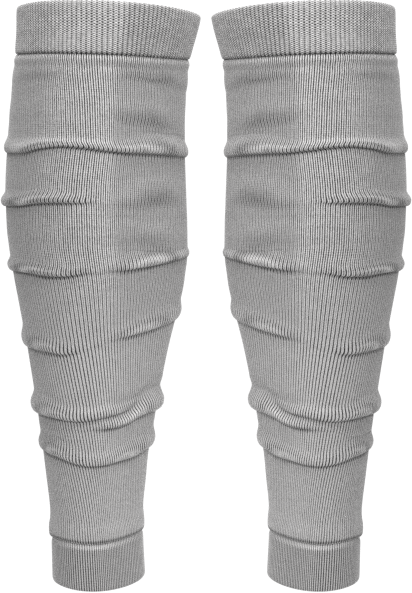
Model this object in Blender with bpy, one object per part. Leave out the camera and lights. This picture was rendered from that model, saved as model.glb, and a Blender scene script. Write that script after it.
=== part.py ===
"""A pair of ribbed knit leg sleeves, filled out as worn, hollow and open at both ends.

Run it with: blender --background --python part.py
Metres, +Z up, front towards -Y. The origin lies midway between the two sleeves at the height where
the top cuffs grip the leg. Lengths below are in millimetres, heights are above the ankle hem, and
the sleeve on the left, at -X, is drawn first. The right one is its mirror image.
"""

from collections import namedtuple
from math import cos, hypot, sin, tau

import bmesh
import bpy
import numpy as np

MM = 0.001

# Driving dimensions
GRIP_HEIGHT = 349.5
SEAM_GAP = 0.3
BODY_WALL = 1.5
TOP_CUFF_WALL = 2.6
ANKLE_CUFF_WALL = 2.2
RIB_COUNT = 112
TOP_RIB_DEPTH = 0.7
ANKLE_RIB_DEPTH = 0.6
PLAIN_BAND = 3.6

# Points around each kind of ring: two on every rib, and a plain number inside
RIB_POINTS = 2 * RIB_COUNT
PLAIN_CUFF_POINTS = RIB_POINTS // 4
BODY_POINTS = 32
OUTLINE_STEPS = 240

# The leg's general form. Outer and inner are distances from the middle plane of the pair. Front and
# back are distances from the plane y = 0, and the section is widest at `widest` behind that plane.
Section = namedtuple("Section", "height outer inner front back widest")
SECTIONS = (
    Section(0, 99.3, 39.8, 36.0, 38.0, 3.0),
    Section(28, 99.9, 41.1, 36.5, 38.5, 3.0),
    Section(47, 100.8, 41.0, 37.0, 39.5, 4.0),
    Section(64, 102.9, 39.2, 37.7, 41.2, 5.0),
    Section(80, 104.9, 37.6, 38.8, 43.2, 6.0),
    Section(103, 108.1, 33.5, 41.0, 47.5, 9.0),
    Section(129, 112.5, 28.7, 43.5, 52.5, 13.0),
    Section(150, 116.2, 24.3, 45.8, 56.8, 16.0),
    Section(180, 122.1, 16.6, 49.2, 62.8, 19.5),
    Section(196, 125.2, 13.0, 50.8, 65.2, 21.0),
    Section(219, 128.7, 12.1, 52.7, 67.8, 22.5),
    Section(251, 130.2, 13.1, 54.0, 69.0, 23.0),
    Section(286, 128.1, 13.8, 54.5, 67.3, 22.0),
    Section(308, 125.8, 13.2, 54.2, 64.5, 20.0),
    Section(327, 123.6, 11.8, 53.8, 61.2, 17.0),
    Section(336, 121.7, 11.0, 53.4, 59.7, 15.5),
    Section(350, 119.9, 7.3, 53.1, 58.2, 13.0),
    Section(366, 119.2, 3.3, 53.0, 57.0, 11.0),
)

# A value at eight directions, an eighth of a turn apart, going round the sleeve
Round = namedtuple("Round", "inner inner_back back outer_back outer outer_front front inner_front")

TOP_EDGE = Round(361.4, 362.4, 364.2, 366.0, 366.8, 366.6, 364.9, 363.1)
TOP_SEAM = Round(334.4, 335.3, 336.5, 337.6, 337.6, 335.2, 333.0, 332.6)
ANKLE_SEAM = Round(33.5, 32.7, 31.3, 30.1, 29.6, 31.6, 31.6, 33.3)
HEM = Round(1.9, 1.8, 1.2, 0.6, 0.4, 0.3, 0.0, 1.0)

# The folds of the bunched tube, top to bottom. Each cloth roll stands out by its bulge above a crease
# at these heights, starts to swell at the reach above it, and hangs over the crease by its droop.
# A soft fold has no droop.
Fold = namedtuple("Fold", "name reach droop crease bulge")
FOLDS = (
    Fold("below_cuff", 10, 0.0,
         Round(317.2, 315.0, 316.5, 319.0, 321.0, 320.0, 318.0, 317.7),
         Round(0.7, 0.8, 0.5, 0.6, 0.2, 0.3, 0.3, 0.8)),
    Fold("upper_soft", 11, 0.0,
         Round(293.5, 292.5, 294.5, 297.5, 298.5, 297.5, 295.5, 293.5),
         Round(0.6, 0.9, 0.7, 0.4, 0.2, 0.3, 0.2, 0.8)),
    Fold("upper_calf", 10, 1.1,
         Round(272.0, 270.3, 272.3, 275.3, 274.8, 273.9, 276.6, 273.1),
         Round(3.4, 2.6, 1.9, 2.0, 2.2, 2.0, 1.8, 2.8)),
    Fold("outer_calf", 9, 0.9,
         Round(244.6, 246.0, 244.5, 242.0, 240.8, 241.9, 243.7, 245.2),
         Round(0.7, 1.2, 1.9, 2.7, 3.2, 2.6, 0.9, 0.9)),
    Fold("middle_soft", 11, 0.0,
         Round(218.0, 219.0, 221.0, 222.0, 221.0, 220.0, 219.5, 218.0),
         Round(0.6, 0.8, 0.9, 0.5, 0.2, 0.2, 0.2, 0.7)),
    Fold("lower_calf", 9, 0.9,
         Round(208.3, 207.0, 203.0, 200.6, 199.9, 200.4, 200.7, 204.4),
         Round(1.8, 2.4, 2.2, 2.6, 2.9, 2.4, 0.6, 1.7)),
    Fold("below_calf", 11, 0.9,
         Round(166.7, 163.0, 156.5, 152.0, 151.2, 151.8, 154.2, 163.7),
         Round(2.4, 2.0, 2.4, 2.5, 2.6, 2.0, 0.5, 1.9)),
    Fold("big_roll", 15, 1.2,
         Round(126.0, 123.8, 115.6, 109.5, 107.8, 109.3, 110.1, 122.2),
         Round(0.4, 1.2, 3.0, 4.0, 4.2, 3.4, 2.4, 1.2)),
    Fold("inner_roll", 18, 1.0,
         Round(108.6, 107.5, 104.5, 101.0, 99.5, 100.0, 102.0, 109.0),
         Round(4.4, 3.2, 1.0, 0.1, 0.1, 0.2, 1.2, 3.2)),
    Fold("lower_roll", 15, 1.1,
         Round(84.3, 82.6, 80.1, 82.1, 83.7, 83.6, 80.1, 84.5),
         Round(2.9, 2.5, 2.2, 2.5, 2.6, 2.2, 1.6, 2.4)),
)
ROOM_SHARE = 0.92
FULL_DROOP_BULGE = 2.0

# Rings of a fold, top to bottom: part of the reach above the crease, share of the bulge, and how many
# droops the ring hangs down
Station = namedtuple("Station", "part share drop")
ROLL_OUTSIDE = (
    Station(1.00, 0.05, 0),
    Station(0.50, 1.00, 0),
    Station(0.11, 0.62, 1),
    Station(0.00, -0.08, 0),
)
SOFT_OUTSIDE = (Station(0.50, 1.00, 0), Station(0.00, -0.20, 0))
ROLL_INSIDE = (Station(1.00, 0.00, 0), Station(0.60, 0.60, 0), Station(0.10, -0.05, 0))
SOFT_INSIDE = (Station(0.25, 0.00, 0),)

# The lip at the foot of the body, which laps over the ankle cuff
LIP_BULGE = Round(1.9, 1.8, 1.5, 1.4, 1.3, 1.2, 1.3, 1.7)
LIP_REACH = 13
LIP_CREST = 3.9
LIP_DROOP = 1.3

# Plain rings start from a height curve, lie a rise above it and stand out from the leg's form, to which
# the lip share adds its part of the lip's bulge. Ribbed rings carry the cuff's ribs.
PlainRing = namedtuple("PlainRing", "start rise out lip_share ribbed", defaults=(0.0, False))
FOLDS_END = 31
TOP_TUCK = -0.3
BODY_HEAD_OUTSIDE = (
    PlainRing(TOP_SEAM, -SEAM_GAP / 2, TOP_TUCK),
    PlainRing(TOP_SEAM, -3.5, 0.8),
)
BODY_FOOT_OUTSIDE = (
    PlainRing(ANKLE_SEAM, FOLDS_END, 0.0),
    PlainRing(ANKLE_SEAM, LIP_REACH, 0.0, 0.15),
    PlainRing(ANKLE_SEAM, LIP_CREST, 0.0, 1.0),
    PlainRing(ANKLE_SEAM, SEAM_GAP / 2 - LIP_DROOP, 0.3, 0.8),
)
BODY_HEAD_INSIDE = (PlainRing(TOP_SEAM, -SEAM_GAP / 2, TOP_TUCK - BODY_WALL),)
BODY_FOOT_INSIDE = (
    PlainRing(ANKLE_SEAM, FOLDS_END, -BODY_WALL),
    PlainRing(ANKLE_SEAM, LIP_REACH, -BODY_WALL),
    PlainRing(ANKLE_SEAM, SEAM_GAP / 2, -BODY_WALL),
)

# The top cuff is a turned welt, thicker than the body, with a rounded top edge
WELT_FACE = 0.9
WELT_INSIDE = WELT_FACE - TOP_CUFF_WALL
WELT_WAIST = 14
TOP_CUFF = (
    PlainRing(TOP_EDGE, -0.2, -0.2),
    PlainRing(TOP_EDGE, -2.0, WELT_FACE, ribbed=True),
    PlainRing(TOP_SEAM, WELT_WAIST, 1.1, ribbed=True),
    PlainRing(TOP_SEAM, SEAM_GAP / 2, 0.5, ribbed=True),
    PlainRing(TOP_SEAM, SEAM_GAP / 2, WELT_INSIDE),
    PlainRing(TOP_SEAM, WELT_WAIST, WELT_INSIDE),
    PlainRing(TOP_EDGE, -1.0, WELT_INSIDE),
)

# The ankle cuff has a plain band at its top, which the body's lip covers in part
RIB_RUN_IN = 1.2
ANKLE_CUFF = (
    PlainRing(ANKLE_SEAM, -SEAM_GAP - 0.6, -0.7),
    PlainRing(ANKLE_SEAM, -SEAM_GAP - PLAIN_BAND, -0.3),
    PlainRing(ANKLE_SEAM, -SEAM_GAP - PLAIN_BAND - RIB_RUN_IN, 0.0, ribbed=True),
    PlainRing(HEM, 0.0, 0.0, ribbed=True),
    PlainRing(HEM, 0.0, -ANKLE_CUFF_WALL),
    PlainRing(ANKLE_SEAM, -SEAM_GAP - 0.2, -ANKLE_CUFF_WALL),
)

# Colour, roughness and metallic value of the mid grey yarn in each piece
YARN = {
    "top_cuff": ((0.40, 0.40, 0.39, 1.0), 0.92, 0.0),
    "body": ((0.38, 0.38, 0.37, 1.0), 0.92, 0.0),
    "ankle_cuff": ((0.36, 0.36, 0.35, 1.0), 0.94, 0.0),
}


def smooth_through(places, values):
    """A smooth curve through the values, by cubic pieces whose slopes follow the neighbouring points."""
    places = np.asarray(places, float)
    values = np.asarray(values, float)
    slopes = np.gradient(values, places)

    def at(place):
        start = int(np.clip(np.searchsorted(places, place) - 1, 0, len(places) - 2))
        span = places[start + 1] - places[start]
        share = (place - places[start]) / span
        rest = 1 - share
        return (
            values[start] * rest * rest * (1 + 2 * share)
            + slopes[start] * span * share * rest * rest
            + values[start + 1] * share * share * (1 + 2 * rest)
            - slopes[start + 1] * span * share * share * rest
        )

    return at


def going_round(directions):
    """A function of the angle round the sleeve, from a value at each of the eight directions."""
    values = list(directions)
    eighth = tau / len(values)
    wrapped = values[-2:] + values + values[:3]
    curve = smooth_through([eighth * (step - 2) for step in range(len(wrapped))], wrapped)
    return lambda angle: curve(angle % tau)


SECTION_CURVES = [
    smooth_through([row.height for row in SECTIONS], [row[column] for row in SECTIONS])
    for column in range(1, len(Section._fields))
]


def cloth_point(angle, height, out):
    """A point that lies `out` millimetres outside the plain form of the leg, square to its outline.

    The section is half an ellipse behind its widest plane, with a narrower, rounded keel in front."""
    outer, inner, front, back, widest = (curve(height) for curve in SECTION_CURVES)
    half_width = (outer - inner) / 2
    behind = back - widest
    keel = front + widest - behind
    ahead = min(0.0, sin(angle))
    normal_x = (behind - 2 * keel * ahead) * cos(angle)
    normal_y = half_width * sin(angle)
    size = hypot(normal_x, normal_y)
    return (
        -(outer + inner) / 2 + half_width * cos(angle) + out * normal_x / size,
        widest + behind * sin(angle) - keel * ahead * ahead + out * normal_y / size,
        height - GRIP_HEIGHT,
    )


def even_angles(count, height):
    """Angles at which points lie evenly spaced along the section at a height, as knit ribs do."""
    steps = [tau * step / OUTLINE_STEPS for step in range(OUTLINE_STEPS + 1)]
    outline = [cloth_point(angle, height, 0.0) for angle in steps]
    lengths = [hypot(ahead[0] - here[0], ahead[1] - here[1]) for here, ahead in zip(outline, outline[1:])]
    walked = np.cumsum([0.0] + lengths)
    return np.interp(np.arange(count) * walked[-1] / count, walked, steps)


def make_ring(count, height, out, rib_depth=0.0):
    """The points of one ring. Height and out are functions of the angle, and each rib takes two points."""
    points = []
    for step, angle in enumerate(even_angles(count, height(0.0))):
        rib = rib_depth * (0.5 - step % 2)
        points.append(cloth_point(angle, height(angle), out(angle) + rib))
    return points


def fan_faces(fine, coarse):
    """Faces between two rings, where the fine ring has a whole number of points for each coarse one."""
    ratio = len(fine) // len(coarse)
    for step, corner in enumerate(coarse):
        following = coarse[(step + 1) % len(coarse)]
        first = step * ratio
        turn = first + (ratio + 1) // 2
        for place in range(first, first + ratio):
            pivot = corner if place < turn else following
            yield fine[place], fine[(place + 1) % len(fine)], pivot
        yield corner, following, fine[turn % len(fine)]


def join_rings(mesh, near, far):
    if len(near) == len(far):
        for step in range(len(near)):
            following = (step + 1) % len(near)
            mesh.faces.new((near[step], near[following], far[following], far[step]))
        return
    fine, coarse = (near, far) if len(near) > len(far) else (far, near)
    for face in fan_faces(fine, coarse):
        mesh.faces.new(face)


def make_material(piece):
    material = bpy.data.materials.new(f"knit_{piece}")
    material.use_nodes = True
    shader = material.node_tree.nodes["Principled BSDF"]
    colour, roughness, metallic = YARN[piece]
    shader.inputs["Base Color"].default_value = colour
    shader.inputs["Roughness"].default_value = roughness
    shader.inputs["Metallic"].default_value = metallic
    material.diffuse_color = colour
    return material


def make_wall(name, rings, mirrored, material):
    """One closed wall from rings that run down the outside and back up the inside."""
    sign = -1 if mirrored else 1
    mesh = bmesh.new()
    loops = [[mesh.verts.new((sign * x * MM, y * MM, z * MM)) for x, y, z in ring] for ring in rings]
    for near, far in zip(loops, loops[1:] + loops[:1]):
        join_rings(mesh, near, far)
    bmesh.ops.recalc_face_normals(mesh, faces=mesh.faces)
    data = bpy.data.meshes.new(name)
    mesh.to_mesh(data)
    mesh.free()
    data.materials.append(material)
    data.shade_smooth()
    wall = bpy.data.objects.new(name, data)
    bpy.context.scene.collection.objects.link(wall)
    return wall


def fold_station(fold, above, station, wall):
    """Height and out of one ring of a fold, as functions of the angle.

    The reach is held to the room under the fold or seam above it, and the droop fades with the bulge."""
    crease = going_round(fold.crease)
    bulge = going_round(fold.bulge)

    def height(angle):
        reach = min(fold.reach, ROOM_SHARE * (above(angle) - crease(angle)))
        droop = fold.droop * min(1.0, bulge(angle) / FULL_DROOP_BULGE)
        return crease(angle) + station.part * reach - station.drop * droop

    def out(angle):
        return station.share * bulge(angle) - wall

    return height, out


def fold_rings(roll_stations, soft_stations, wall):
    above = going_round(TOP_SEAM)
    for fold in FOLDS:
        for station in roll_stations if fold.droop else soft_stations:
            height, out = fold_station(fold, above, station, wall)
            yield make_ring(BODY_POINTS, height, out)
        above = going_round(fold.crease)


def plain_rings(table, count, rib_depth=0.0):
    lip = going_round(LIP_BULGE)
    for row in table:
        start = going_round(row.start)
        yield make_ring(
            RIB_POINTS if row.ribbed else count,
            lambda angle: start(angle) + row.rise,
            lambda angle: row.out + row.lip_share * lip(angle),
            rib_depth if row.ribbed else 0.0,
        )


def body_rings():
    """Rings down the outside, from the top cuff's seam to the lip, and back up the inside."""
    outside = [
        *plain_rings(BODY_HEAD_OUTSIDE, BODY_POINTS),
        *fold_rings(ROLL_OUTSIDE, SOFT_OUTSIDE, 0.0),
        *plain_rings(BODY_FOOT_OUTSIDE, BODY_POINTS),
    ]
    inside = [
        *plain_rings(BODY_HEAD_INSIDE, BODY_POINTS),
        *fold_rings(ROLL_INSIDE, SOFT_INSIDE, BODY_WALL),
        *plain_rings(BODY_FOOT_INSIDE, BODY_POINTS),
    ]
    return outside + inside[::-1]


def main():
    for old in list(bpy.data.objects):
        bpy.data.objects.remove(old)
    pieces = {
        "top_cuff": list(plain_rings(TOP_CUFF, PLAIN_CUFF_POINTS, TOP_RIB_DEPTH)),
        "body": body_rings(),
        "ankle_cuff": list(plain_rings(ANKLE_CUFF, PLAIN_CUFF_POINTS, ANKLE_RIB_DEPTH)),
    }
    for piece, rings in pieces.items():
        material = make_material(piece)
        for side, mirrored in (("left", False), ("right", True)):
            make_wall(f"{side}_{piece}", rings, mirrored, material)


main()
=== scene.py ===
import math

import bpy
import numpy as np
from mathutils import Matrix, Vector


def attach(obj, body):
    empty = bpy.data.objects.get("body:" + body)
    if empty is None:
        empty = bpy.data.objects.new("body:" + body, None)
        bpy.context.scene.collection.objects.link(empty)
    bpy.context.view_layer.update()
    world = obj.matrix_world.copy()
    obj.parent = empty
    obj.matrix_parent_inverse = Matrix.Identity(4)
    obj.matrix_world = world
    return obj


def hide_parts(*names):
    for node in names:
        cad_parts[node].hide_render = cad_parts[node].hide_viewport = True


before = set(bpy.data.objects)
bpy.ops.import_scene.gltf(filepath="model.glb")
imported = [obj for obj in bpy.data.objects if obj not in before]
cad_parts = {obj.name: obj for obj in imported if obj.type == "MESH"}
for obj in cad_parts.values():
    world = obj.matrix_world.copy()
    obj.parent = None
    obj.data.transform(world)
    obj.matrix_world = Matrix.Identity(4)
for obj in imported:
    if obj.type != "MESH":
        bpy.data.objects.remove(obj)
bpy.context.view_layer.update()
print("the packed sleeves are loaded")

# Tables are in millimetres, but flat sizes, areas and the studio are in metres. Heights are above the hem.
# The left sleeve is drawn first, and angles start at its inner side and go round by the back.
mm = 0.001
turn = 2 * math.pi
gripHeight = 349.5
ribCount = 112
columnsPerRib = 4
seamHalf = 0.15  # half of the gap between two pieces

# The leg's general form: height, then outer, inner, front, back and the plane where it is widest
legSections = np.array([
    (0, 99.3, 39.8, 36.0, 38.0, 3.0),
    (28, 99.9, 41.1, 36.5, 38.5, 3.0),
    (47, 100.8, 41.0, 37.0, 39.5, 4.0),
    (64, 102.9, 39.2, 37.7, 41.2, 5.0),
    (80, 104.9, 37.6, 38.8, 43.2, 6.0),
    (103, 108.1, 33.5, 41.0, 47.5, 9.0),
    (129, 112.5, 28.7, 43.5, 52.5, 13.0),
    (150, 116.2, 24.3, 45.8, 56.8, 16.0),
    (180, 122.1, 16.6, 49.2, 62.8, 19.5),
    (196, 125.2, 13.0, 50.8, 65.2, 21.0),
    (219, 128.7, 12.1, 52.7, 67.8, 22.5),
    (251, 130.2, 13.1, 54.0, 69.0, 23.0),
    (286, 128.1, 13.8, 54.5, 67.3, 22.0),
    (308, 125.8, 13.2, 54.2, 64.5, 20.0),
    (327, 123.6, 11.8, 53.8, 61.2, 17.0),
    (336, 121.7, 11.0, 53.4, 59.7, 15.5),
    (350, 119.9, 7.3, 53.1, 58.2, 13.0),
    (366, 119.2, 3.3, 53.0, 57.0, 11.0),
])

# Values at eight directions: inner, inner back, back, outer back, outer, outer front, front, inner front
topEdge = (362.0, 362.6, 364.2, 366.0, 367.1, 366.6, 364.9, 363.2)
topSeam = (334.4, 335.3, 336.5, 337.6, 337.6, 335.2, 333.0, 332.6)
ankleSeam = (33.5, 32.7, 31.3, 30.1, 29.6, 31.6, 31.6, 33.3)
hem = (1.4, 1.5, 1.2, 0.3, -0.4, -0.1, 0.0, 0.8)

# How far the knit has slipped round the leg at each height, in millimetres: on the outer front, on the
# inner front, and all round
knitSlip = np.array([
    (366, -2.0, 0.0, 0.0), (335, 0.0, 0.0, 0.0), (304, 4.0, -1.2, 0.0), (281, 6.2, -2.4, 0.0),
    (273, 6.2, -3.0, 0.0), (259, 4.2, -4.2, 0.0), (246, 4.0, -5.2, 0.0), (214, 3.4, -6.4, 0.0),
    (203, 4.6, -6.6, 0.0), (180, 6.2, -6.8, 0.6), (160, 6.6, -6.8, 3.0), (132, 6.6, -6.4, 8.0),
    (110, 6.6, -6.2, 12.0), (90, 6.6, -6.2, 15.4), (66, 6.6, -6.2, 19.0), (54, 6.6, -6.2, 20.2),
    (40, 6.6, -6.2, 21.6), (28, 6.6, -6.2, 22.6), (0, 6.6, -6.2, 23.0),
])[::-1]
slipShares = (
    (0.0, 0.0, 0.3, 0.8, 1.0, 1.1, 1.0, 0.1),
    (0.3, 0.1, 0.0, 0.0, 0.0, 0.0, 0.1, 1.0),
    (1.0, 1.0, 1.0, 1.0, 1.0, 1.0, 1.0, 1.0),
)


def smoothThrough(places, values, at, slopes=None):
    # cubic pieces whose slopes follow the neighbouring points
    places = np.asarray(places, float)
    values = np.asarray(values, float)
    if slopes is None:
        slopes = np.gradient(values, places, axis=0)
    at = np.asarray(at, float)
    start = np.clip(np.searchsorted(places, at) - 1, 0, len(places) - 2)
    span = places[start + 1] - places[start]
    share = (at - places[start]) / span
    if values.ndim > 1:
        span = span[:, None]
        share = share[:, None]
    rest = 1 - share
    return (
        values[start] * rest * rest * (1 + 2 * share)
        + slopes[start] * span * share * rest * rest
        + values[start + 1] * share * share * (1 + 2 * rest)
        - slopes[start + 1] * span * share * share * rest
    )


def steadySlopes(places, values):
    # slopes that keep the curve between its neighbours, and level at a crest
    gaps = np.diff(places).reshape((-1,) + (1,) * (values.ndim - 1))
    steps = np.diff(values, axis=0) / gaps
    before, after = steps[:-1], steps[1:]
    left, right = gaps[:-1], gaps[1:]
    same = before * after > 0
    safe = np.where(same, before * after, 1.0)
    blend = (left + right) * 3 * safe / np.where(
        same, (2 * right + left) * after + (right + 2 * left) * before, 1.0)
    return np.concatenate([steps[:1], np.where(same, blend, 0.0), steps[-1:]])


def steadyThrough(places, values, at):
    places = np.asarray(places, float)
    values = np.asarray(values, float)
    return smoothThrough(places, values, at, steadySlopes(places, values))


def goingRound(directions):
    # a function of the angle, which starts at the inner side and goes round by the back
    values = list(directions)
    wrapped = values[-2:] + values + values[:3]
    places = [turn / len(values) * (step - 2) for step in range(len(wrapped))]
    return lambda angle: smoothThrough(places, wrapped, np.mod(angle, turn))


def roundTable(table):
    # functions of the angle for each column of a table whose first column is in degrees
    knots = np.array(sorted(table), float)
    before, after = knots[-3:].copy(), knots[:3].copy()
    before[:, 0] -= 360
    after[:, 0] += 360
    knots = np.concatenate([before, knots, after])

    def columnAt(column):
        return lambda angle: steadyThrough(knots[:, 0], knots[:, column], np.degrees(np.mod(angle, turn)))

    return [columnAt(column) for column in range(1, knots.shape[1])]


def legPoint(angle, height, out):
    # a point that lies out from the plain leg, square to its outline, in metres
    height = np.asarray(height, float)
    levels = smoothThrough(legSections[:, 0], legSections[:, 1:], height.ravel())
    outer, inner, front, back, widest = (column.reshape(height.shape) for column in levels.T)
    halfWidth = (outer - inner) / 2
    behind = back - widest
    keel = front + widest - behind
    ahead = np.minimum(0, np.sin(angle))
    normalX = (behind - 2 * keel * ahead) * np.cos(angle)
    normalY = halfWidth * np.sin(angle)
    size = np.hypot(normalX, normalY)
    x = -(outer + inner) / 2 + halfWidth * np.cos(angle) + out * normalX / size
    y = widest + behind * np.sin(angle) - keel * ahead * ahead + out * normalY / size
    return np.stack([x, y, height - gripHeight], axis=-1) * mm


def knitColumns():
    # the angle of each column of stitches at each level: evenly along the outline, and turned a little
    levelStep = 3.0
    highest = 373
    lapSteps = 360
    levels = np.arange(-levelStep, highest, levelStep)
    steps = np.linspace(-turn, 2 * turn, 3 * lapSteps + 1)
    rows = []
    for level in levels:
        outline = legPoint(steps, np.full(steps.shape, level), 0.0)[:, :2] / mm
        walked = np.concatenate([[0], np.cumsum(np.hypot(*np.diff(outline, axis=0).T))])
        length = walked[-1] / 3
        shift = sum(
            np.interp(level, knitSlip[:, 0], knitSlip[:, part + 1]) * goingRound(shares)(steps)
            for part, shares in enumerate(slipShares))
        places = np.arange(ribCount * columnsPerRib) / (ribCount * columnsPerRib) * length
        rows.append(np.interp(places, walked - length - shift, steps))
    return levels, np.array(rows)


knitLevels, knitAngles = knitColumns()


class Cloth:
    # one side of a knitted tube: rings of angle, height, out and rib share, from top to bottom
    def __init__(self, stride):
        self.angles = knitAngles[:, ::stride]
        self.rings = []

    def columnAngles(self, height):
        place = (height - knitLevels[0]) / (knitLevels[1] - knitLevels[0])
        low = np.clip(place.astype(int), 0, len(knitLevels) - 2)
        column = np.arange(self.angles.shape[1])
        share = place - low
        return self.angles[low, column] * (1 - share) + self.angles[low + 1, column] * share

    def ring(self, heightOf, outOf, rib=0.0):
        angle = self.angles[len(knitLevels) // 2]
        for _ in range(4):  # the height turns the columns, and so the two settle together
            angle = self.columnAngles(heightOf(angle))
        self.rings.append([angle, heightOf(angle), outOf(angle), np.full(angle.shape, rib)])

    def edge(self, line, rise, out, rib=0.0):
        # a ring that runs level with an edge or a seam
        lineAt = goingRound(line)
        self.ring(lambda angle: lineAt(angle) + rise, lambda angle: out + 0 * angle, rib)

    def smooth(self, step):
        # many close rings on smooth curves through the drawn ones
        rings = np.array(self.rings)
        moved = np.diff(rings[:, 1:3], axis=0)
        gaps = np.hypot(moved[:, 0], moved[:, 1]).mean(axis=1)
        places = np.concatenate([[0], np.cumsum(gaps)])
        at = [places[0]]
        for start, end in zip(places, places[1:]):
            count = max(1, round((end - start) / step))
            at.extend(start + (end - start) * (index + 1) / count for index in range(count))
        self.path = np.array(at)
        flat = rings.reshape(len(rings), -1)
        self.angle, self.height, self.out, self.rib = np.moveaxis(
            steadyThrough(places, flat, self.path).reshape(len(at), 4, -1), 1, 0)
        return self


def ribRelief(cloth, depths):
    # raises the columns of a rib by turns, where the ring is ribbed
    columns = np.tile(np.array(depths), ribCount)
    cloth.out = cloth.out + cloth.rib * columns
    return cloth


def quadRows(first, rings, columns):
    # corners, rings and columns of the faces between neighbouring rings
    ring, column = np.meshgrid(np.arange(rings - 1), np.arange(columns), indexing="ij")
    ring = ring.reshape(-1, 1) + np.array((0, 1, 1, 0))
    column = column.reshape(-1, 1) + np.array((0, 0, 1, 1))
    return first + ring * columns + column % columns, ring, column


def tubeMesh(name, outside, inside, course, mirrored):
    # a closed wall, with ribs across and courses down as its UV map, and the marks as attributes
    wide = outside.out.shape[1]
    narrow = inside.out.shape[1]
    ratio = wide // narrow
    tall = len(outside.path)
    low = len(inside.path)
    insideFirst = wide * tall
    faces = []
    patterns = []

    def take(index, ring, column, path, columns, reverse):
        u = column * (ribCount / columns)
        v = -path[ring] / course
        if reverse:
            index, u, v = index[:, ::-1], u[:, ::-1], v[:, ::-1]
        faces.extend(index.tolist())
        patterns.append(np.stack([u, v], axis=-1).reshape(-1, 2))

    take(*quadRows(0, tall, wide), outside.path, wide, mirrored)
    take(*quadRows(insideFirst, low, narrow), inside.path, narrow, not mirrored)
    # at both ends the many outer columns meet the few inner ones: fans, and one face between two fans
    many = np.arange(wide)
    near = (many + ratio // 2) // ratio
    few = np.arange(narrow)
    middle = few * ratio + ratio // 2
    for ring, under, bottom in ((0, 0, False), (tall - 1, low - 1, True)):
        outer = ring * wide
        inner = insideFirst + under * narrow
        fans = np.stack([outer + many, outer + (many + 1) % wide, inner + near % narrow], axis=1)
        bases = np.stack([inner + (few + 1) % narrow, inner + few, outer + middle], axis=1)
        for index, column in (
            (fans, np.stack([many, many + 1, near * ratio], axis=1)),
            (bases, np.stack([(few + 1) * ratio, few * ratio, middle], axis=1)),
        ):
            take(index, np.full(index.shape, ring), column, outside.path, wide, bottom != mirrored)
    sides = (outside, inside)
    points = np.concatenate([legPoint(side.angle, side.height, side.out).reshape(-1, 3) for side in sides])
    if mirrored:
        points[:, 0] *= -1
    mesh = bpy.data.meshes.new(name)
    mesh.from_pydata(points.tolist(), [], faces)
    pattern = np.concatenate(patterns).ravel().astype(np.float32)
    mesh.uv_layers.new(name="knit").data.foreach_set("uv", pattern)
    for key, valueAt in marks.items():
        values = np.concatenate([valueAt(side.angle, side.height).ravel() for side in sides])
        mesh.attributes.new(key, "FLOAT", "POINT").data.foreach_set("value", values.astype(np.float32))
    mesh.shade_smooth()
    mesh.update()
    piece = bpy.data.objects.new(name, mesh)
    bpy.context.scene.collection.objects.link(piece)
    return piece


def bell(value, middle, half, power=2):
    # a soft hump, 1 at its middle
    return np.exp(-((value - middle) / half) ** power)


def degreesOf(angle):
    return np.degrees(np.mod(angle, turn))


def offTheSides(angle, rise, start):
    # 0 at the inner and outer sides, and 1 in front and behind
    return np.clip(np.abs(np.sin(angle)) * rise - start, 0, 1)


def foldsAt(angle):
    # crease height, bulge, reach and tuck of every fold
    return [[valueAt(angle) for valueAt in roundTable(table)] for table in folds.values()]


def rollFaces(angle, height, rise, middle, half):
    # a band along each roll, placed by parts of its reach, and as strong as the roll is tucked under
    face = 0 * angle
    for crease, bulge, reach, tuck in foldsAt(angle):
        above = (height - crease) / reach
        face = np.maximum(face, np.minimum(1, tuck * rise) * bell(above, middle, half))
    return face


# Where the ribs are pulled open, in degrees round the leg. What changes with the height has its heights
# first. A hump is its middle and half its width.
pulling = {
    "shinOuterEdge": 239,
    "shinInnerEdge": ((100, 150, 180), (289, 286, 285)),
    "shinSoftness": ((50, 100, 180, 215), (12, 6, 4, 1.4)),
    "outerSoftness": 4,
    "calfShare": 0.5,
    "calf": (95, 40),
    "calmRolls": ((190, 22, 0.7), (332, 17, 0.35)),  # middle, half and loss
    "underSeam": (-1.5, 2.0),
}


def pulledOpen(angle, height):
    # where the ribs stand out: over the shin, less over the calf, on the rolls, and under the top seam
    degrees = degreesOf(angle)
    innerEdge = np.interp(height, *pulling["shinInnerEdge"])
    softness = np.interp(height, *pulling["shinSoftness"])
    outerSoftness = softness + pulling["outerSoftness"]
    shin = 1 / (1 + np.exp((pulling["shinOuterEdge"] - degrees) / outerSoftness))
    shin = shin / (1 + np.exp((degrees - innerEdge) / softness))
    calf = pulling["calfShare"] * bell(degrees, *pulling["calf"])
    rolls = rollFaces(angle, height, rise=1.3, middle=0.3, half=0.3) * offTheSides(angle, rise=5, start=0.1)
    for middle, half, loss in pulling["calmRolls"]:
        rolls = rolls * (1 - loss * bell(degrees, middle, half))
    seam = bell(height - goingRound(topSeam)(angle), *pulling["underSeam"])
    return np.maximum.reduce([shin, calf, rolls, seam])


def onRolls(angle, height):
    # where the lines between the ribs are deeper, on the lower face of each roll
    faces = rollFaces(angle, height, rise=1.5, middle=0.2, half=0.28)
    return faces * offTheSides(angle, rise=4, start=0.2)


def steppedAside(angle, height):
    # how far the ribs step aside over each roll, in ribs: by parts of its reach, most near its crease
    most = 0.1
    halfAbove = 0.42
    halfBelow = 0.14
    fullBulge = 1.6
    jog = 0 * angle
    for key, (crease, bulge, reach, tuck) in zip(folds, foldsAt(angle)):
        above = (height - crease) / reach - most
        half = np.where(above > 0, halfAbove, halfBelow)
        lean = goingRound(leans.get(key, plainLean))(angle)
        jog = jog + lean * np.clip(bulge / fullBulge, 0, 1) * bell(above, 0, half)
    return jog * offTheSides(angle, rise=2.4, start=1.0)


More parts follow.
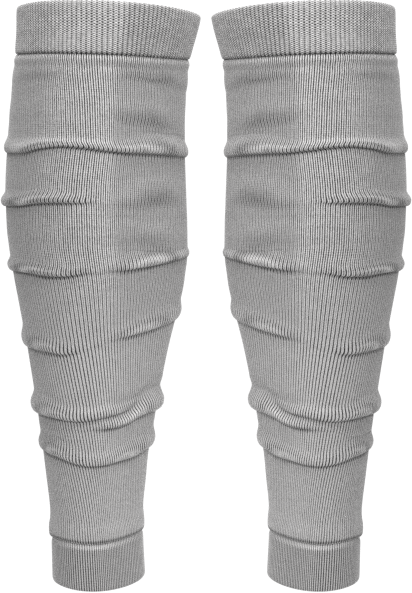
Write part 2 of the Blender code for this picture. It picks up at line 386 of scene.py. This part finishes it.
def plainBand(angle, height):
    # the smooth band under the ankle seam, with soft edges
    below = goingRound(ankleSeam)(angle) - height
    top, bottom = ankleCuff["plainBand"]
    softTop, softBottom = ankleCuff["plainEdges"]
    return np.clip((below - top) / softTop, 0, 1) * np.clip((bottom - below) / softBottom, 0, 1)


def evenLines(angle, height):
    # where the ribs are stretched so wide that both lines of each show, rather than one
    lowest = 150
    fade = 50
    behind = 0.55
    front = bell(degreesOf(angle), middle=279, half=53, power=4)
    return np.clip((height - lowest) / fade, 0, 1) * (behind + (1 - behind) * front)


# How a crease is marked with painted shade: with a thin dark line where it is tucked, and with a faint dark
# band where it is soft
creaseShading = {
    "leastBulge": 0.3,
    "lineBulge": 1.2,
    "lineTuck": (2.2, 0.25),
    "lineHalf": 0.55,
    "bandBulge": 0.9,
    "bandTuck": 0.4,
    "bandShare": 0.15,
    "bandPlace": (-0.12, 0.24),  # middle and half, by parts of the reach
    "seamLineHalf": 0.6,
}


def paintedCreaseShade(angle, height):
    # painted shade in the creases and along the seams: how deep a point lies in a crease, from 0 to 1
    rise, start = creaseShading["lineTuck"]
    paintedShade = 0 * angle
    for crease, bulge, reach, tuck in foldsAt(angle):
        spare = bulge - creaseShading["leastBulge"]
        line = np.clip(spare / creaseShading["lineBulge"], 0, 1) * np.clip(tuck * rise - start, 0, 1)
        line = line * bell(height, crease, creaseShading["lineHalf"])
        band = np.clip(spare / creaseShading["bandBulge"], 0, 1) * creaseShading["bandShare"]
        band = band * np.clip(1 - tuck / creaseShading["bandTuck"], 0, 1)
        band = band * bell((height - crease) / reach, *creaseShading["bandPlace"])
        paintedShade = np.maximum.reduce([paintedShade, line, band])
    for seam in (topSeam, ankleSeam):
        paintedShade = np.maximum(paintedShade, bell(height, goingRound(seam)(angle), creaseShading["seamLineHalf"]))
    return paintedShade


# What each point of the knit is marked with, in the order in which the finish reads it
marks = {
    "pulled": pulledOpen,
    # painted shade in the creases and along the seams
    "creaseShade": paintedCreaseShade,
    "even": evenLines,
    "aside": steppedAside,
    "plain": plainBand,
    "rolled": onRolls,
}


class Wire:
    # a shader socket that takes part in sums
    def __init__(self, maker, socket):
        self.maker = maker
        self.socket = socket

    def sum(self, operation, *values):
        return self.maker.node("ShaderNodeMath", {"operation": operation}, dict(enumerate(values)))

    def __add__(self, other):
        return self.sum("ADD", self, other)

    def __radd__(self, other):
        return self.sum("ADD", other, self)

    def __sub__(self, other):
        return self.sum("SUBTRACT", self, other)

    def __rsub__(self, other):
        return self.sum("SUBTRACT", other, self)

    def __mul__(self, other):
        return self.sum("MULTIPLY", self, other)

    def __rmul__(self, other):
        return self.sum("MULTIPLY", other, self)

    def __pow__(self, other):
        return self.sum("POWER", self, other)

    def cosine(self):
        return self.sum("COSINE", self)

    def whole(self):
        return self.sum("FLOOR", self)

    def atLeast(self, least):
        return self.sum("MAXIMUM", self, least)

    def span(self, low, high):
        # low where the value is 0, and high where it is 1
        return self * (high - low) + low

    def beside(self, output):
        return Wire(self.maker, self.socket.node.outputs[output])


class Finish:
    # the nodes of a material, or of the world
    def __init__(self, owner):
        self.owner = owner
        owner.use_nodes = True
        self.tree = owner.node_tree
        self.tree.nodes.clear()

    def node(self, kind, settings, sockets, output=0):
        made = self.tree.nodes.new(kind)
        for key, value in settings.items():
            setattr(made, key, value)
        for key, value in sockets.items():
            if isinstance(value, Wire):
                self.tree.links.new(value.socket, made.inputs[key])
            else:
                made.inputs[key].default_value = value
        return Wire(self, made.outputs[output]) if made.outputs else made


# The yarn, which all the pieces are knitted from
yarn = {
    "colour": (0.308, 0.304, 0.3025),
    "darkest": 0.06,
    "roughness": 0.86,
    "fuzzRoughness": 0.2,
    "sheen": 0.2,
    "sheenRoughness": 0.45,
    "sheenTint": (0.95, 0.95, 0.95, 1),
    "gloss": 0.2,
}

# The stitches, alike in all the pieces. A pair holds the values where its mark or noise is 0 and where it
# is 1. The first five go by the mark "even", from narrow ribs to ribs that are stretched wide.
stitches = {
    "wander": (3.2, 1.0),
    "openKnitAndHighlight": (0.5, 1.0),
    "strongLine": (0.8, 1.0),
    "weakLine": (0.2, 1.0),
    "fuzz": (3.0, 1.0),
    "speckle": (0.88, 1.12),
    "bandLines": (1.0, 0.7),
    "bandLight": (0.3, 1.0),
    "dashes": (0.4, 1.0),
    "bandDashes": 0.45,
    "rowDrift": 0.5,
    "eyeletSharp": 1.5,
    "rollBalance": 0.17,
    "strongGroove": 0.6,
    "weakGroove": 0.4,
    "rowRelief": (0.7, 1.0),
    "fuzzRelief": 0.35,
    "bump": 0.7,
    "bumpDepth": 0.0003,
}


def knitFinish(name, look):
    # rib knit: light wales, a strong and a weak line between them by turns, and rows of small stitches
    finish = Finish(bpy.data.materials.new(name))
    pulled, creaseShade, even, aside, plain, rolled = (
        finish.node("ShaderNodeAttribute", {"attribute_name": key}, {}, 2) for key in marks)
    place = finish.node("ShaderNodeUVMap", {"uv_map": "knit"}, {})
    across = finish.node("ShaderNodeSeparateXYZ", {}, {0: place})
    course = across.beside(1)
    rib = across + aside
    stretched = finish.node("ShaderNodeMapping", {}, {"Vector": place, "Scale": (2.0, 0.25, 1.0)})
    drift = finish.node("ShaderNodeTexNoise", {"noise_dimensions": "2D"}, {
        "Vector": stretched, "Scale": 0.8, "Detail": 2.0, "Roughness": 0.6})
    patch = finish.node("ShaderNodeTexNoise", {"noise_dimensions": "2D"}, {
        "Vector": place, "Scale": 0.16, "Detail": 2.0, "Roughness": 0.6})
    stitch = finish.node("ShaderNodeCombineXYZ", {}, {0: (rib * 2).whole(), 1: course.whole()})
    speck = finish.node("ShaderNodeTexWhiteNoise", {"noise_dimensions": "2D"}, {"Vector": stitch})
    ownPlace = finish.node("ShaderNodeTexCoord", {}, {}, 3)
    fuzz = finish.node("ShaderNodeTexNoise", {}, {
        "Vector": ownPlace, "Scale": 1400.0, "Detail": 3.0, "Roughness": 0.7})

    # waves across the ribs and along the rows
    wander = (drift - 0.5) * even.span(*stitches["wander"]) * look["wander"]
    wave = ((rib + wander) * turn).cosine()
    row = ((course + (drift - 0.5) * stitches["rowDrift"]) * turn).cosine()
    strongLine = (0.5 - 0.5 * wave) ** look["lineSharp"]
    weakLine = (0.5 + 0.5 * wave) ** look["lineSharp"]
    eyelet = (0.5 - 0.5 * wave) ** stitches["eyeletSharp"]

    # the tone of a clean wale, and what takes away from it or adds to it
    # lighter where the ribs are pulled open: partly the light wales of the open knit, partly a painted
    # highlight on the shin and the tops of the rolls, which face the lights
    openKnitAndHighlight = pulled * even.span(*stitches["openKnitAndHighlight"]) * look["pulledLift"]
    # painted shade: the tone drops where the mark "even" is low, towards the hem and away from the front
    ground = look["light"] + (even - 1) * look["narrowDrop"] + openKnitAndHighlight
    contrast = pulled.span(look["calmInk"], 1)
    patchy = 1 + (patch - 0.5) * look["patchInk"]
    strongInk = strongLine * even.span(*stitches["strongLine"]) * look["strong"]
    weakInk = weakLine * patchy * even.span(*stitches["weakLine"]) * look["weak"]
    broken = speck.span(*stitches["speckle"]) * plain.span(*stitches["bandLines"])
    lines = contrast * (strongInk + weakInk) * broken
    dashes = (row - look["dashBias"]) * eyelet * contrast.span(*stitches["dashes"]) * look["dash"]
    between = row * weakLine * look["stagger"]
    specks = (speck - 0.5) * look["speckInk"]
    fibres = (fuzz - 0.5) * even.span(*stitches["fuzz"]) * look["fuzzInk"]
    clouds = (patch - 0.5) * look["cloudInk"]
    # the plain band is lighter in itself, and lighter still in front, where the extra is a painted
    # highlight
    bandLight = plain * pulled.span(*stitches["bandLight"])
    bandDashes = plain * strongLine * (1 + row) * stitches["bandDashes"]
    rollLines = rolled * (strongLine - stitches["rollBalance"]) * look["rollInk"]
    tone = ground - lines + dashes - between + specks + fibres + clouds + bandLight - bandDashes - rollLines
    # painted shade: darker in the creases and along the seams, most of all in the lines between the ribs
    shaded = tone * (1 - creaseShade * look["tuckInk"]) - creaseShade * strongLine * look["tuckLine"]

    colour = finish.node("ShaderNodeVectorMath", {"operation": "SCALE"}, {
        0: yarn["colour"], 3: shaded.atLeast(yarn["darkest"])})
    grooves = strongLine * stitches["strongGroove"] + weakLine * stitches["weakGroove"]
    height = (1 - grooves) * row.span(*stitches["rowRelief"]) + (fuzz - 0.5) * stitches["fuzzRelief"]
    bump = finish.node("ShaderNodeBump", {}, {
        "Strength": stitches["bump"], "Distance": stitches["bumpDepth"], "Height": height})
    shader = finish.node("ShaderNodeBsdfPrincipled", {}, {
        "Base Color": colour,
        "Roughness": yarn["roughness"] + (fuzz - 0.5) * yarn["fuzzRoughness"],
        "Normal": bump,
        "Sheen Weight": yarn["sheen"],
        "Sheen Roughness": yarn["sheenRoughness"],
        "Sheen Tint": yarn["sheenTint"],
        "Specular IOR Level": yarn["gloss"],
    })
    finish.node("ShaderNodeOutputMaterial", {}, {"Surface": shader})
    return finish.owner


def dress(piece, node, slotName, material, flat, area):
    # hands a finished piece to the frame
    piece.data.materials.append(material)
    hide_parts(node)
    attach(piece, "root")


def buildCuff(cuff):
    # a ribbed outside and a plain inside
    outside = Cloth(1)
    for line, rise, out, rib in cuff["outside"]:
        outside.edge(line, rise, out, rib)
    inside = Cloth(columnsPerRib)
    for line, rise in cuff["inside"]:
        inside.edge(line, rise, cuff["face"] - cuff["wall"])
    return ribRelief(outside.smooth(cuff["step"]), cuff["ribDepths"]), inside.smooth(cuff["insideStep"])


# The double welt at the top, in a coarser rib. Its rings: edge or seam, rise above it, out, and rib share.
topCuff = {
    "wall": 2.6,
    "face": 0.9,  # out from the plain leg
    "outside": (
        (topEdge, -1.2, -1.75, 0), (topEdge, -0.45, -1.6, 0), (topEdge, -0.05, -1.1, 0.2),
        (topEdge, 0, -0.3, 0.5), (topEdge, -0.4, 0.5, 0.8), (topEdge, -1.5, 1.0, 1),
        (topEdge, -6.0, 1.2, 1), (topSeam, 14, 1.1, 1), (topSeam, 4.5, 1.0, 1),
        (topSeam, 1.6, 0.75, 0.9), (topSeam, 0.5, 0.3, 0.6), (topSeam, seamHalf, -0.4, 0.2),
        (topSeam, seamHalf, -1.0, 0),
    ),
    "inside": ((topEdge, -2.2), (topEdge, -8), (topSeam, 14), (topSeam, 0.8)),
    "ribDepths": (0.35, 0.12, -0.35, 0.12),
    "course": 1.25,
    "step": 0.9,
    "insideStep": 6,
    "flat": (0.26, 0.033),
    "area": 0.0084,
    "light": 1.45, "narrowDrop": 0.0, "pulledLift": 0.3, "calmInk": 1.0, "patchInk": 0.6,
    "strong": 1.0, "weak": 0.6, "lineSharp": 2.4, "wander": 0.08,
    "dash": 1.1, "dashBias": 0.3, "stagger": 1.35,
    "speckInk": 0.45, "fuzzInk": 0.3, "cloudInk": 0.3,
    # this row's first two values darken the creases and seams with painted shade
    "tuckInk": 0.5, "tuckLine": 2.6, "rollInk": 0.0,
}

# The long tube with its folds. The rings of its head and foot: rise above the seam, out, for the foot
# also the share of the lip, and rib share.
body = {
    "wall": 1.5,
    "head": (
        (-seamHalf, -0.9, 0), (-seamHalf, -0.45, 0.3), (-0.7, 0.1, 0.7), (-1.9, 0.6, 1), (-3.6, 0.8, 1),
    ),
    "foot": (
        (31, 0, 0, 1), (20, 0, 0.04, 1), (13, 0, 0.15, 1), (9, 0, 0.5, 1), (6.5, 0, 0.85, 1),
        (3.9, 0, 1.0, 1), (1.6, 0, 1.0, 1), (-0.2, 0, 0.85, 0.9), (-1.0, 0, 0.5, 0.6),
        (-0.9, -0.3, 0.1, 0.3), (-0.1, -0.7, 0, 0),
    ),
    "headInside": -0.9,
    "footInside": (31, 13, 0.6),
    "lipBulge": (1.1, 1.5, 1.5, 1.5, 1.6, 1.3, 1.3, 1.4),
    "ribDepths": (-0.10, 0.13, -0.17, 0.13),
    "course": 0.8,
    "step": 1.9,
    "insideStep": 12,
    "flat": (0.26, 0.365),
    "area": 0.078,
    # this row's second value darkens the tube towards the hem and away from the front, as painted shade
    "light": 1.79, "narrowDrop": 0.3, "pulledLift": 0.92, "calmInk": 0.58, "patchInk": 0.7,
    "strong": 3.0, "weak": 2.6, "lineSharp": 3.2, "wander": 0.05,
    "dash": 0.3, "dashBias": 0.0, "stagger": 0.0,
    "speckInk": 0.12, "fuzzInk": 0.12, "cloudInk": 0.2,
    # this row's first two values darken the creases and seams with painted shade
    "tuckInk": 0.55, "tuckLine": 3.0, "rollInk": 1.4,
}

# Each fold's rows: direction in degrees, crease height, bulge, reach above the crease, and how far the
# roll is tucked under
folds = {
    "below_cuff": (
        (0, 317.2, 0.5, 10, 0), (45, 315, 0.8, 10, 0), (90, 316.5, 0.5, 10, 0), (135, 319, 0.6, 10, 0),
        (180, 321, 0.2, 10, 0), (225, 320, 0.25, 9, 0), (270, 319.5, 0.1, 9, 0), (293, 320, 0.45, 9, 0),
        (306, 319, 0.7, 9, 0), (325, 318, 0.7, 10, 0),
    ),
    "upper_soft": (
        (0, 292, -0.1, 12, 0), (45, 292, 0.9, 12, 0), (90, 294.5, 0.7, 11, 0), (135, 297.5, 0.4, 11, 0),
        (180, 298.5, 0.2, 11, 0), (225, 297.5, 0.2, 11, 0), (270, 296, 0.05, 10, 0),
        (283, 295.5, 0.25, 11, 0), (293, 295, 0.9, 12, 0), (308, 293.5, 1.2, 13, 0),
        (328, 291.8, 0.7, 13, 0),
    ),
    "upper_calf": (
        (0, 271.8, 2.2, 11, 0.5), (45, 270.3, 2.6, 11, 0.6), (90, 272.3, 1.1, 9, 0.2),
        (128, 275, 2.0, 10, 0.6), (187, 274.6, 2.1, 11.5, 0.4), (224, 274, 2.2, 10, 0.6),
        (240, 276.5, 2.0, 7.5, 0.7), (253, 277.5, 1.7, 6, 0.8), (268, 276.5, 1.6, 6, 0.8),
        (282, 274.7, 1.7, 7, 0.7), (295, 273.5, 2.2, 9.5, 0.7), (308, 273.3, 2.7, 12.5, 0.9),
        (326, 272.5, 2.8, 14, 0.9), (346, 272, 2.5, 12, 0.7),
    ),
    "outer_calf": (
        (0, 244.6, 0.1, 14, 0), (45, 246, 0.5, 10, 0), (84, 244.8, 1.2, 9, 0.3),
        (135, 242, 2.7, 9, 1.1), (180, 240.8, 3.1, 9.5, 1.1), (219, 241.2, 2.8, 9.5, 1.1),
        (239, 243.3, 2.1, 9, 1.0), (253, 243.6, 1.5, 8, 0.9), (264, 243.6, 0.9, 7, 0.8),
        (272, 243.6, 0.35, 7, 0.4), (280, 243.6, 0.2, 9, 0), (290, 244, 0.8, 13, 0),
        (300, 244.6, 1.2, 15, 0), (315, 245.2, 1.3, 15, 0), (331, 245.5, 0.9, 15, 0),
    ),
    "middle_soft": (
        (0, 219.5, -0.1, 13, 0), (45, 219, 0.8, 12, 0), (90, 221, 0.9, 11, 0), (135, 222, 0.5, 11, 0),
        (180, 221, 0.15, 10, 0), (225, 220, 0.15, 10, 0), (268, 220, 0.05, 10, 0),
        (280, 220.5, 0.2, 11, 0), (294, 220.5, 0.5, 13, 0), (308, 218.8, 0.7, 13, 0),
        (324, 218, 0.4, 13, 0),
    ),
    "lower_calf": (
        (0, 208.3, 1.2, 10, 0.7), (45, 207, 2.4, 10, 0.8), (96, 203, 2.3, 9, 0.9),
        (142, 200.6, 1.3, 9, 0.3), (186, 199.2, 2.8, 9.5, 1.1), (223, 199.4, 2.4, 9.5, 1.0),
        (241, 198.2, 1.9, 9, 0.9), (253, 198.6, 1.4, 8, 0.8), (265, 200.3, 0.8, 7, 0.5),
        (275, 201.2, 0.45, 7, 0.2), (284, 201.6, 0.7, 9, 0.4), (292, 202.1, 1.2, 11, 0.7),
        (303, 203.5, 1.7, 13, 0.9), (315, 205, 1.9, 13, 0.9), (329, 206.2, 1.8, 13, 0.9),
        (351, 207.6, 1.4, 11, 0.8),
    ),
    "below_calf": (
        (0, 166.7, 2.3, 14, 0.7), (45, 163, 1.7, 11, 0.5), (82, 158, 0.8, 11, 0.1),
        (128, 152.5, 2.3, 13, 0.7), (180, 149.6, 2.6, 15.5, 0.5), (222, 150.3, 2.2, 14, 0.6),
        (234, 150, 1.8, 12, 0.7), (244, 149.6, 1.3, 10, 0.7), (254, 150.4, 0.7, 8, 0.5),
        (264, 152.5, 0.3, 8, 0.2), (276, 156, 0.3, 8, 0.2), (286, 159, 0.6, 9, 0.2),
        (296, 160.6, 1.2, 11, 0.5), (306, 162, 1.6, 12.5, 0.8), (324, 164.2, 2.0, 14, 0.8),
        (345, 166, 2.2, 14, 0.7),
    ),
    "big_roll": (
        (0, 127.5, 0.1, 5, 0), (45, 124, 1.0, 10, 0.4), (90, 115.6, 2.8, 14, 0.9),
        (135, 109.5, 3.7, 15.5, 0.9), (190, 107.4, 3.8, 15.5, 0.6), (222, 108.6, 3.1, 14, 0.8),
        (240, 108.4, 2.5, 11, 1.0), (254, 108.3, 2.2, 9.5, 1.1), (268, 109.2, 2.0, 9, 1.1),
        (282, 111, 1.7, 8.5, 1.0), (294, 112.4, 1.2, 7.5, 0.8), (304, 114.2, 0.6, 6.5, 0.4),
        (316, 121.5, 0.15, 5, 0), (330, 127, 0.05, 5, 0),
    ),
    "inner_roll": (
        (0, 108.4, 4.1, 18, 0.5), (45, 107.5, 3.0, 15, 0.8), (90, 104.5, 1.0, 9, 0.3),
        (135, 101, 0.1, 7, 0), (180, 99.5, 0.1, 7, 0), (225, 100, 0.1, 7, 0), (256, 102.2, 0.15, 6, 0),
        (268, 103, 0.5, 6.5, 0.2), (280, 103.3, 1.1, 7.5, 0.5), (292, 104, 1.8, 8.5, 0.9),
        (304, 105.7, 2.5, 10, 1.1), (316, 108.8, 3.1, 14, 1.1), (330, 109.4, 3.6, 17, 0.8),
        (346, 108.6, 4.0, 18, 0.5),
    ),
    "lower_roll": (
        (0, 84.6, 2.8, 15, 0.5), (45, 82.6, 2.3, 13, 0.6), (104, 80.3, 0.9, 12, 0.1),
        (146, 82.4, 2.4, 13, 0.7), (185, 84.6, 2.2, 15, 0.4), (228, 84, 2.1, 13, 0.7),
        (242, 82.5, 2.0, 11.5, 0.9), (254, 81, 1.9, 10.5, 1.0), (269, 80, 1.8, 10, 1.0),
        (284, 80.4, 1.8, 10, 1.0), (300, 82, 2.1, 11.5, 1.0), (320, 83.2, 2.5, 13.5, 0.8),
        (342, 85, 2.8, 15, 0.5),
    ),
}

# How far the ribs lean over a roll, in ribs and at eight directions: in front, towards the outer side
# where it is positive
plainLean = (0, 0.5, 0, -0.5, 0, 0.8, 0.1, -0.6)
leans = {
    "upper_soft": (0, 0, 0, 0, 0, 0, 0, -0.2),
    "middle_soft": (0, 0, 0, 0, 0, 0, 0, -0.2),
    "upper_calf": (0, 0.4, 0.3, -0.3, 0, -0.5, -0.7, -0.5),
    "outer_calf": (0, 0.3, 0.3, -0.5, 0, 0.6, 0.7, -0.25),
}

# Stations of a fold, from its top to its crease: part of the reach, share of the bulge, share of the tuck
foldOutside = (
    (1.0, 0.02, 0), (0.87, 0.2, 0), (0.75, 0.45, 0), (0.63, 0.73, 0), (0.51, 0.93, 0), (0.4, 1.0, 0),
    (0.29, 0.98, 0.35), (0.18, 0.78, 0.9), (0.09, 0.35, 1.0), (0.0, -0.1, 0.2), (-0.04, -0.04, 0))
foldInside = ((1.0, 0.0, 0), (0.5, 0.6, 0), (0.05, -0.05, 0))

# The room of a fold: it keeps clear of the seam and of the fold above it, and slopes away under its ridge
# where it is soft
foldRoom = {
    "underSeam": 6,
    "share": 0.92,
    "ridge": 0.4,
    "softTuck": 0.35,
    "slope": 0.8,
}

# Soft troughs and ridges: half their height, then rows of direction in degrees, height and depth
softLines = (
    (2.6, ((282, 117.5, 0), (294, 119, -0.5), (302, 120.5, -0.9), (313, 122.5, -1.1), (324, 125, -1.0),
           (342, 125.5, -0.8), (360, 125.5, -0.4), (380, 125, 0))),
    (2.2, ((296, 94, 0), (304, 95, -0.35), (310, 97, -0.6), (325, 99.5, -0.7), (346, 98.5, -0.4),
           (365, 97, 0))),
    (2.0, ((232, 328, 0), (250, 326.5, -0.25), (268, 325.5, -0.3), (290, 325, -0.3), (308, 325, 0))),
    (2.6, ((30, 300, 0), (60, 303, -0.5), (95, 306, -0.6), (130, 303, 0))),
    (3.0, ((55, 233, 0), (80, 230, -0.6), (110, 227, -0.5), (145, 226, 0))),
    (2.8, ((15, 181, 0), (50, 182, -0.6), (90, 186, -0.8), (130, 183, 0))),
    (2.4, ((70, 140, 0), (95, 136, -0.7), (130, 133, -0.5), (160, 131, 0))),
    (8.0, ((318, 197, 0), (346, 197, -0.7), (374, 197, -0.7), (398, 197, 0))),
    (2.2, ((40, 66, 0), (80, 62, -0.4), (120, 60, -0.4), (155, 60, 0))),
    (1.4, ((236, 234.5, 0), (250, 234.5, -0.2), (270, 235, -0.2), (284, 235, 0))),
)


def ringHeight(angles, heights):
    # the height of a finished ring at any angle
    places = np.concatenate([angles - turn, angles, angles + turn])
    return lambda angle: np.interp(np.mod(angle, turn), places, np.tile(heights, 3))


def foldRings(cloth, stations, wall, ribbed):
    ceiling = goingRound([height - foldRoom["underSeam"] for height in topSeam])
    for table in folds.values():
        creaseAt, bulgeAt, reachAt, tuckAt = roundTable(table)

        def heightOf(angle, part, drop):
            # a soft fold slopes away under its ridge, and a tucked one hangs over its crease
            room = np.minimum(reachAt(angle), foldRoom["share"] * (ceiling(angle) - creaseAt(angle)))
            soft = np.clip(1 - tuckAt(angle) / foldRoom["softTuck"], 0, 1)
            slope = np.maximum(foldRoom["ridge"] - part, 0) * soft * foldRoom["slope"]
            return creaseAt(angle) + (part - slope) * room - drop * tuckAt(angle)

        for part, share, drop in stations:
            cloth.ring(
                lambda angle: heightOf(angle, part, drop),
                lambda angle: share * bulgeAt(angle) - wall,
                ribbed)
        ceiling = ringHeight(*cloth.rings[-1][:2])


def softRelief(cloth):
    # lays the soft lines into the outside, where those past 360 degrees go on at the inner side
    degrees = degreesOf(cloth.angle)
    for tall, rows in softLines:
        knots = np.array(rows, float)
        for lap in (0, 360):
            line, depth = (np.interp(degrees + lap, knots[:, 0], knots[:, column]) for column in (1, 2))
            cloth.out = cloth.out + depth * bell(cloth.height, line, tall)
    return cloth


def buildBody(look):
    outside = Cloth(1)
    for rise, out, rib in look["head"]:
        outside.edge(topSeam, rise, out, rib)
    foldRings(outside, foldOutside, 0, 1)
    lipAt = goingRound(look["lipBulge"])
    seamAt = goingRound(ankleSeam)
    for rise, out, lip, rib in look["foot"]:
        outside.ring(lambda angle: seamAt(angle) + rise, lambda angle: out + lip * lipAt(angle), rib)
    inside = Cloth(columnsPerRib)
    inside.edge(topSeam, look["headInside"], -look["wall"])
    foldRings(inside, foldInside, look["wall"], 0)
    for rise in look["footInside"]:
        inside.edge(ankleSeam, rise, -look["wall"])
    outside = softRelief(outside.smooth(look["step"]))
    return ribRelief(outside, look["ribDepths"]), inside.smooth(look["insideStep"])


# The narrow cuff at the ankle, with rings as the top cuff has. The plain band lies below its seam.
ankleCuff = {
    "wall": 2.2,
    "face": 0.0,
    "outside": (
        (ankleSeam, -0.55, -1.7, 0), (ankleSeam, -0.7, -1.1, 0), (ankleSeam, -1.3, -0.6, 0.1),
        (ankleSeam, -2.4, -0.35, 0.2), (ankleSeam, -3.7, -0.35, 0.3), (ankleSeam, -4.5, -0.1, 0.8),
        (ankleSeam, -5.6, 0, 1), (hem, 16, 0.05, 1), (hem, 5, 0.05, 1), (hem, 1.6, 0, 1),
        (hem, 0.5, -0.3, 0.7), (hem, 0.05, -0.9, 0.3), (hem, 0.3, -1.6, 0),
    ),
    "inside": ((ankleSeam, -1.2), (ankleSeam, -9), (hem, 12), (hem, 1.2)),
    "plainBand": (1.2, 4.9),
    "plainEdges": (0.5, 0.7),
    "ribDepths": (0.30, 0.10, -0.30, 0.10),
    "course": 1.1,
    "step": 0.9,
    "insideStep": 6,
    "flat": (0.17, 0.033),
    "area": 0.0056,
    "light": 1.44, "narrowDrop": 0.0, "pulledLift": 0.5, "calmInk": 0.9, "patchInk": 0.4,
    "strong": 2.9, "weak": 1.2, "lineSharp": 2.2, "wander": 0.017,
    "dash": 0.5, "dashBias": 0.0, "stagger": 0.0,
    "speckInk": 0.15, "fuzzInk": 0.12, "cloudInk": 0.2,
    # this row's first two values darken the creases and seams with painted shade
    "tuckInk": 0.5, "tuckLine": 2.6, "rollInk": 0.0,
}

sleeves = {side: bpy.data.collections.new(side + "_sleeve") for side in ("left", "right")}
for kind, look, build in (
    ("top_cuff", topCuff, buildCuff),
    ("body", body, buildBody),
    ("ankle_cuff", ankleCuff, buildCuff),
):
    material = knitFinish(kind + "_knit", look)
    outside, inside = build(look)
    for side in ("left", "right"):
        piece = tubeMesh(side + "_" + kind + "_knit", outside, inside, look["course"], side == "right")
        dress(piece, side + "_" + kind, kind, material, look["flat"], look["area"])
        sleeves[side].objects.link(piece)
    print(kind, "is knitted,", len(piece.data.loop_triangles), "triangles")

# The studio: white all round, a pale floor well below the hems, and soft lights. The two inner lights
# shine across, each on one sleeve alone, because the photograph shows one sleeve and its mirror image.
studio = {
    "floorBelow": 0.5,
    "floorWidth": 2.0,
    "floorColour": (0.95, 0.95, 0.95, 1),
    "floorRoughness": 0.9,
    "white": (1, 1, 1, 1),
    "backdrop": 1.1,
    "world": 0.55,
    "lights": (  # name, place, width, height, watts, and the sleeve that it shines on
        ("top", (0.0, -0.35, 1.2), 1.0, 1.0, 28.0, None),
        ("key", (0.0, -1.5, 0.9), 1.2, 0.8, 4.0, None),
        ("front", (0.0, -1.6, -0.2), 0.8, 1.2, 5.0, None),
        ("back", (0.0, 1.6, 0.9), 1.2, 0.8, 8.0, None),
        ("inner_left", (1.6, -0.1, 0.3), 0.6, 1.0, 13.0, "left"),
        ("inner_right", (-1.6, -0.1, 0.3), 0.6, 1.0, 13.0, "right"),
    ),
    "aim": (0.0, 0.0, -0.17),
}


def setUp(name, data, place, target):
    # a light or the camera, at its place and turned to its target
    thing = bpy.data.objects.new(name, data)
    thing.location = place
    thing.rotation_euler = (Vector(target) - Vector(place)).to_track_quat("-Z", "Y").to_euler()
    bpy.context.scene.collection.objects.link(thing)
    return thing


sky = Finish(bpy.data.worlds.new("studio"))
fill = sky.node("ShaderNodeBackground", {}, {"Color": studio["white"], "Strength": studio["world"]})
backdrop = sky.node("ShaderNodeBackground", {}, {"Color": studio["white"], "Strength": studio["backdrop"]})
cameraRay = sky.node("ShaderNodeLightPath", {}, {})
choice = sky.node("ShaderNodeMixShader", {}, {0: cameraRay, 1: fill, 2: backdrop})
sky.node("ShaderNodeOutputWorld", {}, {"Surface": choice})
bpy.context.scene.world = sky.owner

for name, place, width, height, watts, only in studio["lights"]:
    lamp = bpy.data.lights.new(name, "AREA")
    lamp.shape = "RECTANGLE"
    lamp.size = width
    lamp.size_y = height
    lamp.energy = watts
    lampObject = setUp(name, lamp, place, studio["aim"])
    if only:
        lampObject.light_linking.receiver_collection = sleeves[only]
        lampObject.light_linking.blocker_collection = sleeves[only]

floorFinish = Finish(bpy.data.materials.new("pale_floor"))
floorShader = floorFinish.node("ShaderNodeBsdfPrincipled", {}, {
    "Base Color": studio["floorColour"], "Roughness": studio["floorRoughness"]})
floorFinish.node("ShaderNodeOutputMaterial", {}, {"Surface": floorShader})
floorLevel = -gripHeight * mm - studio["floorBelow"]
bpy.ops.object.select_all(action="DESELECT")
bpy.ops.mesh.primitive_plane_add(size=studio["floorWidth"], location=(0, 0, floorLevel))
floor = bpy.context.object
floor.name = "floor"
bpy.ops.object.transform_apply(location=True, rotation=True, scale=True)
floor.data.materials.append(floorFinish.owner)
print("the studio is lit")

# The camera stands where the photograph was taken from
camera = {
    "place": (0.0, -1.024, -0.0894),
    "aim": (0.0, 0.0, -0.1665),
    "focalPixels": 1604.5,
    "tallPixels": 593,
    "sensor": 36,
}
cameraData = bpy.data.cameras.new("camera")
cameraData.sensor_fit = "VERTICAL"
cameraData.sensor_height = camera["sensor"]
cameraData.lens = camera["focalPixels"] * camera["sensor"] / camera["tallPixels"]
bpy.context.scene.camera = setUp("camera", cameraData, camera["place"], camera["aim"])
bpy.context.scene.view_settings.view_transform = "Standard"
bpy.context.scene.cycles.use_denoising = False  # it would smooth the stitches away
print("the camera is set")
